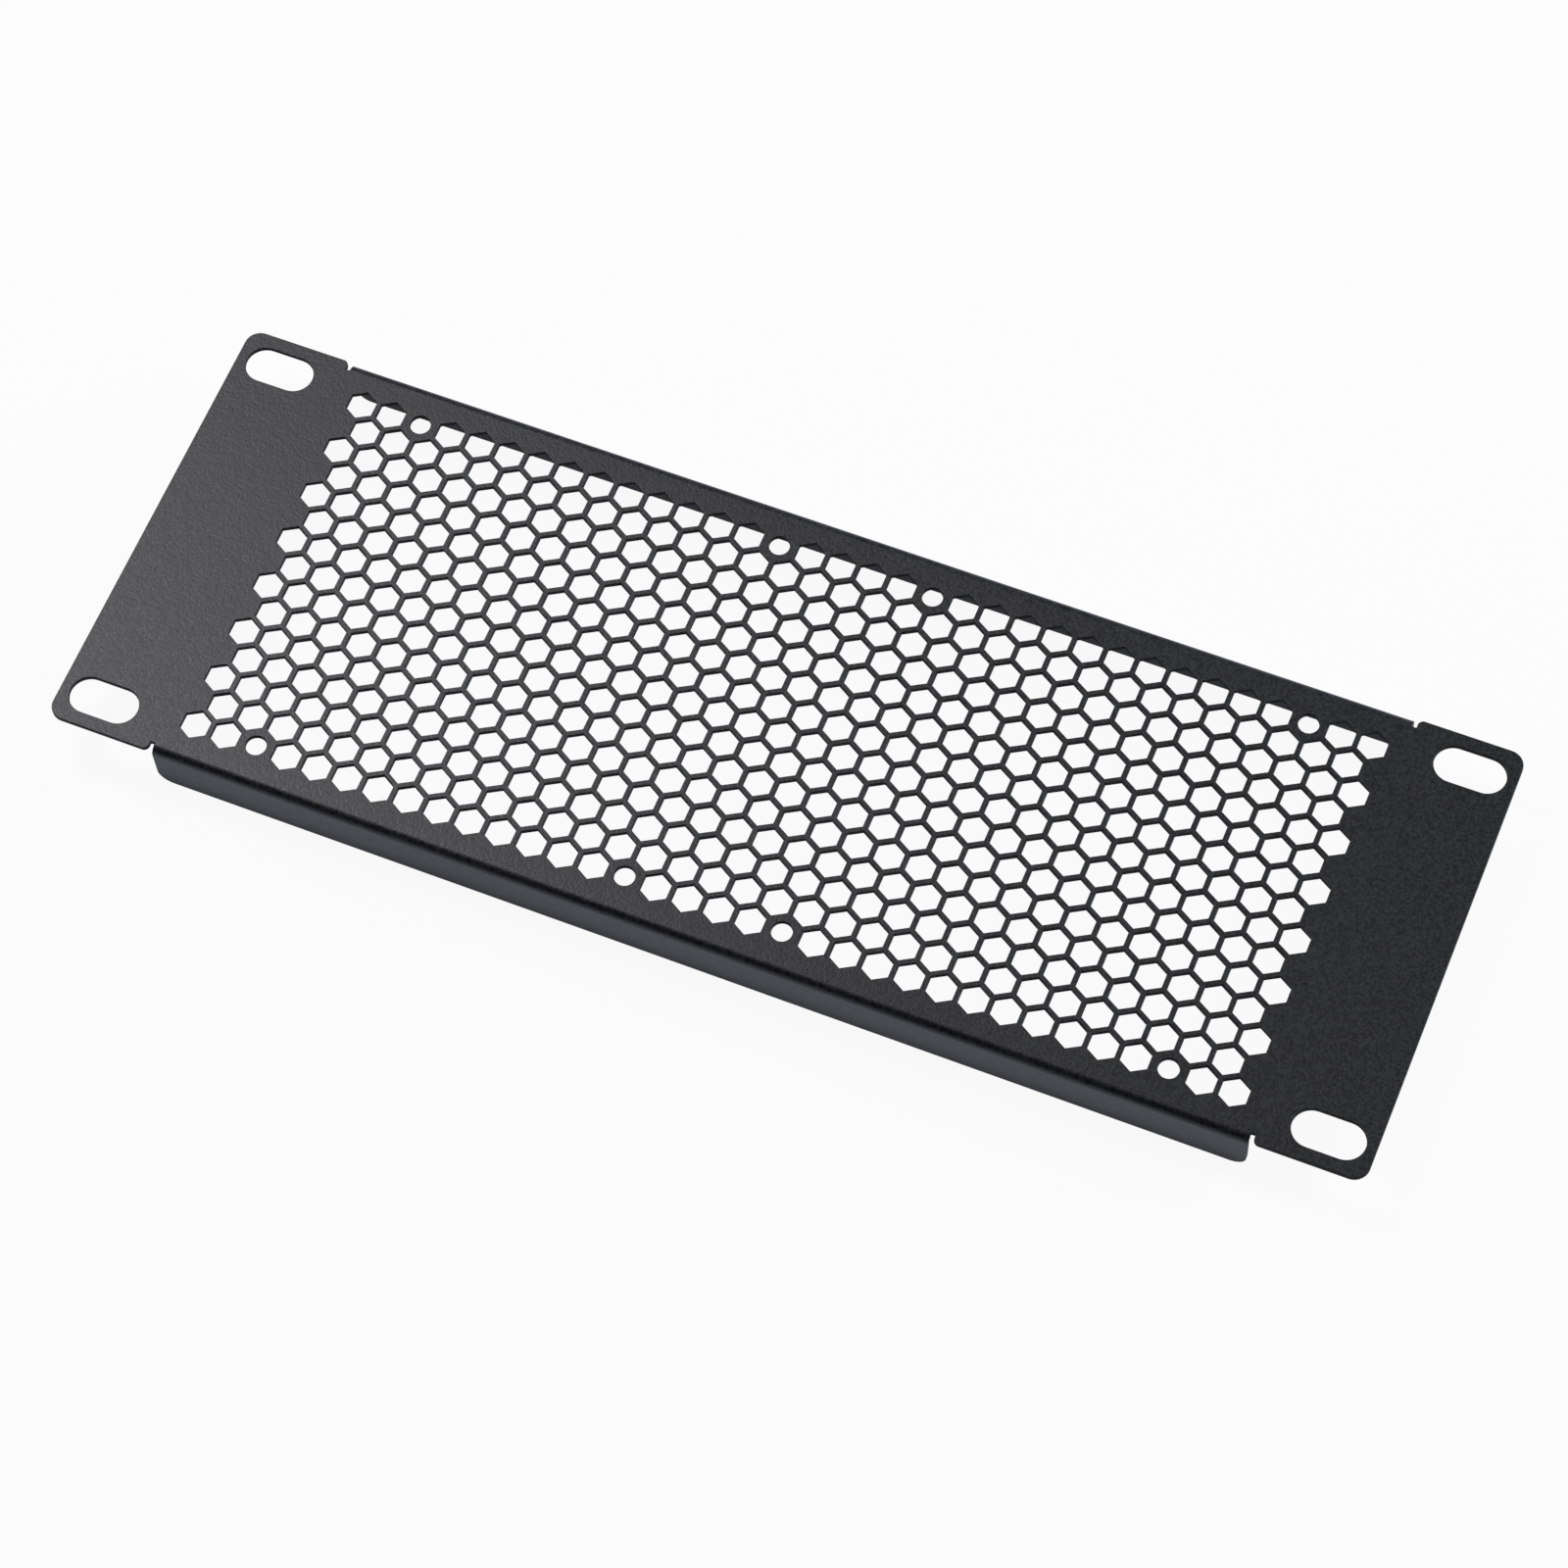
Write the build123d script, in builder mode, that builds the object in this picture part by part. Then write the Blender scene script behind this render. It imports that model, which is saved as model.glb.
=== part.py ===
from build123d import *
import os
from math import floor, hypot, sqrt

# Vent panel for a half-width (10 inch) rack, two units high, folded from one steel sheet.
# It lies face up on its two folded edges: +X runs along the panel, +Y across it and +Z out of its face.
# The origin is under the middle of the face, level with the free edges of the flanges.

# Sheet and outline
panel_width = 254.0
rack_unit = 44.45
rack_units = 2
sheet = 1.0
ear_corner_radius = 3.0

# Flanges, folded back along both long edges
flange_depth = 11.0
flange_corner_radius = 3.0
bend_inner_radius = 0.75

# Ears, parted from the flanges by a narrow relief notch
ear_length = 20.5
notch_width = 0.8
notch_root_radius = 0.4
ear_inner_radius = 1.1

# Rack screw slots, one in each corner
slot_length = 13.5
slot_width = 7.4
slot_from_end = 8.7375
slot_from_edge = 6.35

# Screw holes for two square fans side by side
fan_count = 2
fan_spacing = 103.4
fan_hole_spacing = 73.0
fan_hole_diameter = 3.9

# Honeycomb of hexagonal holes, their points along Y, in rows that step half a pitch; it fits the fan screw holes
hex_flats = 5.1
pitches_per_fan = 12
rows_per_fan = 14
web_to_screw_hole = 0.8
field_from_notch = 2.5
field_from_bend = 3.0

# Worked out from the sizes above
panel_height = rack_units * rack_unit
half_width = panel_width / 2
half_height = panel_height / 2
bend_outer_radius = bend_inner_radius + sheet
bend_line = half_height - bend_outer_radius
face_height = flange_depth - sheet / 2
ear_inner_end = half_width - ear_length
flange_length = 2 * (ear_inner_end - notch_width)
hex_radius = hex_flats / sqrt(3)
hex_pitch = fan_hole_spacing / pitches_per_fan
row_step = fan_hole_spacing / rows_per_fan
slot_spacing_x = panel_width - 2 * slot_from_end
slot_spacing_y = panel_height - 2 * slot_from_edge

# Screw holes as (x, y, half the straight length along X, half the width)
rack_slots = [
    (x, y, (slot_length - slot_width) / 2, slot_width / 2)
    for x in (-slot_spacing_x / 2, slot_spacing_x / 2)
    for y in (-slot_spacing_y / 2, slot_spacing_y / 2)
]
fan_centres = [(fan - (fan_count - 1) / 2) * fan_spacing for fan in range(fan_count)]
fan_holes = [
    (centre + side * fan_hole_spacing / 2, y, 0.0, fan_hole_diameter / 2)
    for centre in fan_centres
    for side in (-1, 1)
    for y in (-fan_hole_spacing / 2, fan_hole_spacing / 2)
]


def leaves_a_web(x, y):
    """True where a hexagon at x, y keeps its web to every screw hole."""
    for hole_x, hole_y, half_straight, half_hole in rack_slots + fan_holes:
        along = max(abs(x - hole_x) - half_straight, 0.0)
        web = hypot(along, y - hole_y) - half_hole - hex_flats / 2
        if web < web_to_screw_hole:
            return False
    return True


def honeycomb_places():
    """Centres of the hexagons: rows with a place each side of the middle, then rows that step half a pitch."""
    reach_x = ear_inner_end - notch_width - field_from_notch - hex_flats / 2
    reach_y = bend_line - field_from_bend - hex_radius
    rows = floor(reach_y / row_step)
    places = []
    for row in range(-rows, rows + 1):
        shift = 0.5 if (rows - row) % 2 == 0 else 0.0
        columns = floor(reach_x / hex_pitch + shift)
        for column in range(-columns, columns + 1):
            x = (column + shift) * hex_pitch
            if x > reach_x:
                continue
            y = row * row_step
            if leaves_a_web(x, y):
                places.append((x, y))
    return places


with BuildPart() as vent_panel:
    # Flanges with their bends: strips of even thickness along the middle of the sheet
    with BuildSketch(Plane.YZ.offset(-flange_length / 2)) as flange_section:
        with BuildLine() as mid_sheet:
            bend = JernArc((bend_line, face_height), (1, 0), bend_inner_radius + sheet / 2, -90)
            Line(bend @ 1, (half_height - sheet / 2, 0))
        trace(line_width=sheet)
        mirror(about=Plane.YZ)
    extrude(amount=flange_length)
    free_corners = vent_panel.edges().filter_by(Axis.Y).group_by(Axis.Z)[0]
    fillet(free_corners, flange_corner_radius)

    # Face and ears, with a step in each long edge for the relief notch and the flange's bend
    with BuildSketch(Plane.XY.offset(flange_depth - sheet)) as face:
        Rectangle(panel_width, panel_height)
        fillet(face.vertices(), ear_corner_radius)
        with Locations((0, -half_height), (0, half_height)):
            Rectangle(2 * ear_inner_end, 2 * bend_outer_radius, mode=Mode.SUBTRACT)
        steps = face.vertices().filter_by(lambda corner: abs(corner.X) < ear_inner_end + notch_width)
        fillet(steps.filter_by(lambda corner: abs(corner.Y) > bend_line + notch_root_radius), ear_inner_radius)
        fillet(steps.filter_by(lambda corner: abs(corner.Y) < bend_line + notch_root_radius), notch_root_radius)

        # Rack slots, fan screw holes and the honeycomb
        with Locations(*[(x, y) for x, y, _, _ in rack_slots]):
            SlotOverall(slot_length, slot_width, mode=Mode.SUBTRACT)
        with Locations(*[(x, y) for x, y, _, _ in fan_holes]):
            Circle(fan_hole_diameter / 2, mode=Mode.SUBTRACT)
        with Locations(*honeycomb_places()):
            RegularPolygon(hex_flats / 2, 6, major_radius=False, rotation=30, mode=Mode.SUBTRACT)
    extrude(amount=sheet)

vent_panel.part.label = "vent_panel"
os.makedirs("parts", exist_ok=True)
export_step(vent_panel.part, "parts/vent_panel.step")
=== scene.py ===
import math

import bmesh
import bpy
import numpy as np
from mathutils import Matrix, Vector


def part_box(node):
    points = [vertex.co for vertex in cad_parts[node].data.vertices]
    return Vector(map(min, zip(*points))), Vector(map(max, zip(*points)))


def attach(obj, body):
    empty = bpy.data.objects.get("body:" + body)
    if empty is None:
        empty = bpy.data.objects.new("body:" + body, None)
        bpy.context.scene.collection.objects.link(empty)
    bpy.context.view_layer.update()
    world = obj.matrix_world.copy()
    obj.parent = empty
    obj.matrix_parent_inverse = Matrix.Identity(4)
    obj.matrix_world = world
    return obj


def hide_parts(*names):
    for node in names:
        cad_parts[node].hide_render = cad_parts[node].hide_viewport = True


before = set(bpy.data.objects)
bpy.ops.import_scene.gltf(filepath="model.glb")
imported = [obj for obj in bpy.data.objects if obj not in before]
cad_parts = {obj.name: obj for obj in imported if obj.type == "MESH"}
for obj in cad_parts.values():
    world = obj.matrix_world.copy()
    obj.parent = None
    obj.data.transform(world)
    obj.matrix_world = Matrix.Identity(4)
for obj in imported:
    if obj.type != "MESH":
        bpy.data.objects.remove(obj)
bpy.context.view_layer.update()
scene = bpy.context.scene


# ---- Vent panel ----
# One blank of 1 mm steel: hexagons, slots and screw holes are punched, then both long edges are folded back.
# The powder paint comes last, so every punched edge carries a thin round bead of it.

merge_distance = 2e-6
level_normal_z = 0.999
flat_angle = math.radians(0.5)
smooth_angle = math.radians(40)
coat_bead = 0.00012
bead_segments = 2
beaded_angle = math.radians(70)
node_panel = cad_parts["vent_panel"]


def merged_copy(source, name):
    """A copy of a node's mesh with shared corners.
    Its flat triangles are evened out and then become one face."""
    shell = bmesh.new()
    shell.from_mesh(source.data)
    bmesh.ops.remove_doubles(shell, verts=shell.verts, dist=merge_distance)
    level = [face for face in shell.faces if abs(face.normal.z) > level_normal_z]
    level_set = set(level)
    inner = [edge for edge in shell.edges if level_set.issuperset(edge.link_faces)]
    bmesh.ops.beautify_fill(shell, faces=level, edges=inner, method="ANGLE")
    bmesh.ops.dissolve_limit(shell, angle_limit=flat_angle, verts=shell.verts, edges=shell.edges)
    mesh = bpy.data.meshes.new(name)
    shell.to_mesh(mesh)
    shell.free()
    mesh.shade_smooth()
    mesh.set_sharp_from_angle(angle=smooth_angle)
    piece = bpy.data.objects.new(name, mesh)
    scene.collection.objects.link(piece)
    return piece


coated_panel = merged_copy(node_panel, "coated_panel")

beads = coated_panel.modifiers.new("paint_beads", "BEVEL")
beads.limit_method = "ANGLE"
beads.angle_limit = beaded_angle
beads.width = coat_bead
beads.segments = bead_segments
beads.use_clamp_overlap = False
beads.harden_normals = True

# The beads are made part of the mesh, and none stands higher than the flat face.
mesh = bpy.data.meshes.new_from_object(coated_panel.evaluated_get(bpy.context.evaluated_depsgraph_get()))
face_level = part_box("vent_panel")[1].z
corners = np.empty(len(mesh.vertices) * 3, np.float32)
mesh.vertices.foreach_get("co", corners)
corners[2::3] = np.minimum(corners[2::3], face_level)
mesh.vertices.foreach_set("co", corners)
coated_panel.modifiers.clear()
coated_panel.data = mesh


def mark_punched_walls(mesh, sheet_bottom, flange_end, bend_line):
    """Marks the steep faces of the flat sheet with 1 and the rest with 0.
    A steep face has |normal z| < 0.8 and z > sheet_bottom, and lies off the bends, where |x| < flange_end
    and |y| > bend_line. Sizes are in metres."""
    normals = np.empty(len(mesh.polygons) * 3, np.float32)
    centres = np.empty(len(mesh.polygons) * 3, np.float32)
    mesh.polygons.foreach_get("normal", normals)
    mesh.polygons.foreach_get("center", centres)
    x, y, z = np.abs(centres.reshape(-1, 3)).T
    steep = np.abs(normals[2::3]) < 0.8
    bent = (x < flange_end) & (y > bend_line)
    wall = steep & ~bent & (z > sheet_bottom)
    mesh.attributes.new("punched_wall", "FLOAT", "FACE").data.foreach_set("value", wall.astype(np.float32))


sheet_and_slack = 0.0011
mark_punched_walls(mesh, sheet_bottom=face_level - sheet_and_slack, flange_end=0.1057, bend_line=0.0427)


class Shade:
    """A socket of a node tree: sums of sockets and plain values make the nodes in between."""

    def __init__(self, tree, socket=None):
        self.tree = tree
        self.socket = socket

    def node(self, kind, settings=None, output=0, **sockets):
        """Adds one node of any kind.
        Underscores in a socket's name stand for its spaces, and i3 is the input socket number 3."""
        made = self.tree.nodes.new(kind)
        for name, value in (settings or {}).items():
            setattr(made, name, value)
        for name, value in sockets.items():
            place = int(name[1:]) if name[1:].isdigit() else name.replace("_", " ")
            if isinstance(value, Shade):
                self.tree.links.new(value.socket, made.inputs[place])
            else:
                made.inputs[place].default_value = value
        return Shade(self.tree, made.outputs[output]) if made.outputs else None

    def maths(self, operation, first, second):
        """Number maths, or vector maths once either side is a vector."""
        sides = [first, second]
        if any(isinstance(side, Shade) and side.socket.type == "VECTOR" for side in sides):
            sides = [(side, side, side) if isinstance(side, (int, float)) else side for side in sides]
            return self.node("ShaderNodeVectorMath", {"operation": operation}, i0=sides[0], i1=sides[1])
        return self.node("ShaderNodeMath", {"operation": operation}, i0=sides[0], i1=sides[1])

    def __add__(self, other):
        return self.maths("ADD", self, other)

    def __radd__(self, other):
        return self.maths("ADD", other, self)

    def __sub__(self, other):
        return self.maths("SUBTRACT", self, other)

    def __rsub__(self, other):
        return self.maths("SUBTRACT", other, self)

    def __mul__(self, other):
        return self.maths("MULTIPLY", self, other)

    def __rmul__(self, other):
        return self.maths("MULTIPLY", other, self)

    def between(self, low, high):
        """The colour low where this number is 0, high where it is 1."""
        return self.node("ShaderNodeMix", {"data_type": "RGBA"}, 2, i0=self, i6=low, i7=high)

    def ray(self, kind):
        """1 for rays of one kind, such as Is Camera Ray, and 0 for the rest."""
        return Shade(self.tree, self.tree.nodes.new("ShaderNodeLightPath").outputs[kind])


# Satin black powder coat: grains that half melted leave a fine sandy skin. Its colour has painted shade in
# the hollows and a painted highlight on the crests.
# The punched walls are painted near black, which is painted shade, and their paint is rougher and duller.
hollow_shade_colour = (0.0005, 0.0006, 0.0020, 1.0)
crest_highlight_colour = (0.0175, 0.0185, 0.0220, 1.0)
wall_shade_colour = (0.0015, 0.0015, 0.0018, 1.0)
gloss = 0.47
gloss_tint = (0.90, 0.945, 1.0, 1.0)
skin_relief = 0.00009
skin_roughness = 0.40
crest_roughness = 0.08
wall_roughness = 0.35

powder_coat = bpy.data.materials.new("powder_coat")
powder_coat.use_nodes = True
coat_shader = powder_coat.node_tree.nodes["Principled BSDF"]
coat = Shade(powder_coat.node_tree)
millimetres = coat.node("ShaderNodeTexCoord", output=3) * 1000.0
sand = coat.node("ShaderNodeTexNoise", Vector=millimetres, Scale=1.7, Detail=3.0, Roughness=0.68)
dimples = coat.node("ShaderNodeTexNoise", Vector=millimetres, Scale=0.5, Detail=1.0, Roughness=0.5)
bump = coat.node("ShaderNodeBump", Strength=1.0, Distance=skin_relief, Height=sand * 0.7 + dimples * 0.3)
# The punched_wall mask picks the walls that get the painted shade colour and the extra roughness.
wall = coat.node("ShaderNodeAttribute", {"attribute_name": "punched_wall"}, 2)
# The crests mask carries painted light and shade: colour painted lighter where the grain is high and darker
# where it is low. The crests are also rougher.
crests = coat.node("ShaderNodeMapRange", Value=sand * 0.9 + dimples * 0.1, From_Min=0.38, From_Max=0.62)
paint = wall.between(crests.between(hollow_shade_colour, crest_highlight_colour), wall_shade_colour)
roughness = skin_roughness + crests * crest_roughness + wall * wall_roughness
coat_shader.inputs["Specular IOR Level"].default_value = gloss
coat_shader.inputs["Specular Tint"].default_value = gloss_tint
for source, target in ((paint, "Base Color"), (roughness, "Roughness"), (bump, "Normal")):
    powder_coat.node_tree.links.new(source.socket, coat_shader.inputs[target])
coated_panel.data.materials.append(powder_coat)

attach(coated_panel, "root")
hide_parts("vent_panel")


# ---- Table ----
# A plain white sheet of board that the panel lies on, bigger than the picture. The camera sees it paper
# white, and a part of its own light still shows, so that the panel's shadow stays on it.

table_half = 3.0
own_light = 0.07
panel_half_depth_mm = 44.45
board_colour = (0.8, 0.8, 0.8, 1.0)
white = (1.0, 1.0, 1.0, 1.0)
mirrored_white = (0.87, 0.90, 1.0, 1.0)

mesh = bpy.data.meshes.new("table")
corners = [(x * table_half, y * table_half, 0.0) for x, y in ((-1, -1), (1, -1), (1, 1), (-1, 1))]
mesh.from_pydata(corners, [], [(0, 1, 2, 3)])
table = bpy.data.objects.new("table", mesh)
scene.collection.objects.link(table)

board = bpy.data.materials.new("white_board")
board.use_nodes = True
board.node_tree.nodes.clear()
paper = Shade(board.node_tree)
matt_white = paper.node("ShaderNodeBsdfDiffuse", Color=board_colour)
seen_ray = paper.ray("Is Camera Ray")
mirrored_ray = paper.ray("Is Glossy Ray")
through_ray = paper.ray("Is Transmission Ray")
seen_colour = mirrored_ray.between(white, mirrored_white)
paper_white = paper.node("ShaderNodeEmission", Color=seen_colour, Strength=1.0)

# Hardly any light gets in where the board and the panel's flanges meet.
# So a painted contact shadow there lets the paint mirror less white, over the first few millimetres of board.
board_place = paper.node("ShaderNodeTexCoord", output=3) * 1000.0
across = paper.node("ShaderNodeSeparateXYZ", output=1, Vector=board_place)
clearance = across.maths("ABSOLUTE", across, 0.0) - panel_half_depth_mm
reach = {"From_Min": 0.0, "From_Max": 3.0, "To_Min": 0.45, "To_Max": 1.0}
# open_board is the painted contact shadow: 0.45 of the mirrored white at the flanges, rising to all of it 3
# mm away.
open_board = paper.node("ShaderNodeMapRange", {"interpolation_type": "SMOOTHSTEP"}, Value=clearance, **reach)
seen_white = (seen_ray + (mirrored_ray + through_ray) * open_board) * (1.0 - own_light)
seen = paper.node("ShaderNodeMixShader", i0=seen_white, i1=matt_white, i2=paper_white)
paper.node("ShaderNodeOutputMaterial", Surface=seen)
mesh.materials.append(board)


# ---- Studio ----
# A soft box hangs over the panel's left end, and a bigger one stands behind it to the right. The room is dim.
# Its wall is paler behind the table than behind the camera, and the camera sees it white.

room_light = 0.01
room_seen = 0.93
wall_behind = 0.16

world = bpy.data.worlds.new("room")
scene.world = world
world.use_nodes = True
backdrop = world.node_tree.nodes["Background"]
backdrop.inputs["Color"].default_value = white
room = Shade(world.node_tree)
towards = room.node("ShaderNodeTexCoord", output=0)
behind = room.node("ShaderNodeSeparateXYZ", output=1, Vector=towards)
pale_wall = room.node("ShaderNodeMapRange", Value=behind, To_Max=wall_behind)
mirrored = (room.ray("Is Glossy Ray") + room.ray("Is Transmission Ray")) * pale_wall
strength = room.ray("Is Camera Ray") * room_seen + mirrored + room_light
world.node_tree.links.new(strength.socket, backdrop.inputs["Strength"])


def soft_box(name, place, width, power, tint):
    """A square area lamp that faces the panel's middle; place and width are in metres, power in watts."""
    lamp = bpy.data.lights.new(name, "AREA")
    lamp.shape = "SQUARE"
    lamp.size = width
    lamp.energy = power
    lamp.color = tint
    holder = bpy.data.objects.new(name, lamp)
    scene.collection.objects.link(holder)
    turn = (-Vector(place)).to_track_quat("-Z", "Y")
    holder.matrix_world = Matrix.Translation(place) @ turn.to_matrix().to_4x4()


soft_box("left_box", (-0.576, 0.240, 0.952), width=0.36, power=7.4, tint=(1.0, 0.955, 0.92))
soft_box("back_box", (0.951, 0.920, 0.458), width=0.854, power=21.3, tint=(0.93, 0.97, 1.0))


# ---- Camera ----
# A long lens looks down on the panel from the front right, a little past its right end.

lens = 112.23
eye = Vector((0.18460, -0.37184, 0.79342))
right = Vector((0.92472, 0.37881, -0.03736)).normalized()
forward = Vector((-0.20453, 0.41170, -0.88807)).normalized()
up = right.cross(forward)
right = forward.cross(up)

view = bpy.data.cameras.new("camera")
view.lens = lens
view.sensor_width = 36.0
view.sensor_fit = "HORIZONTAL"
view.clip_start = 0.01
view.clip_end = 20.0
camera = bpy.data.objects.new("camera", view)
scene.collection.objects.link(camera)
camera.matrix_world = Matrix.Translation(eye) @ Matrix((right, up, -forward)).transposed().to_4x4()
scene.camera = camera

scene.view_settings.view_transform = "Standard"
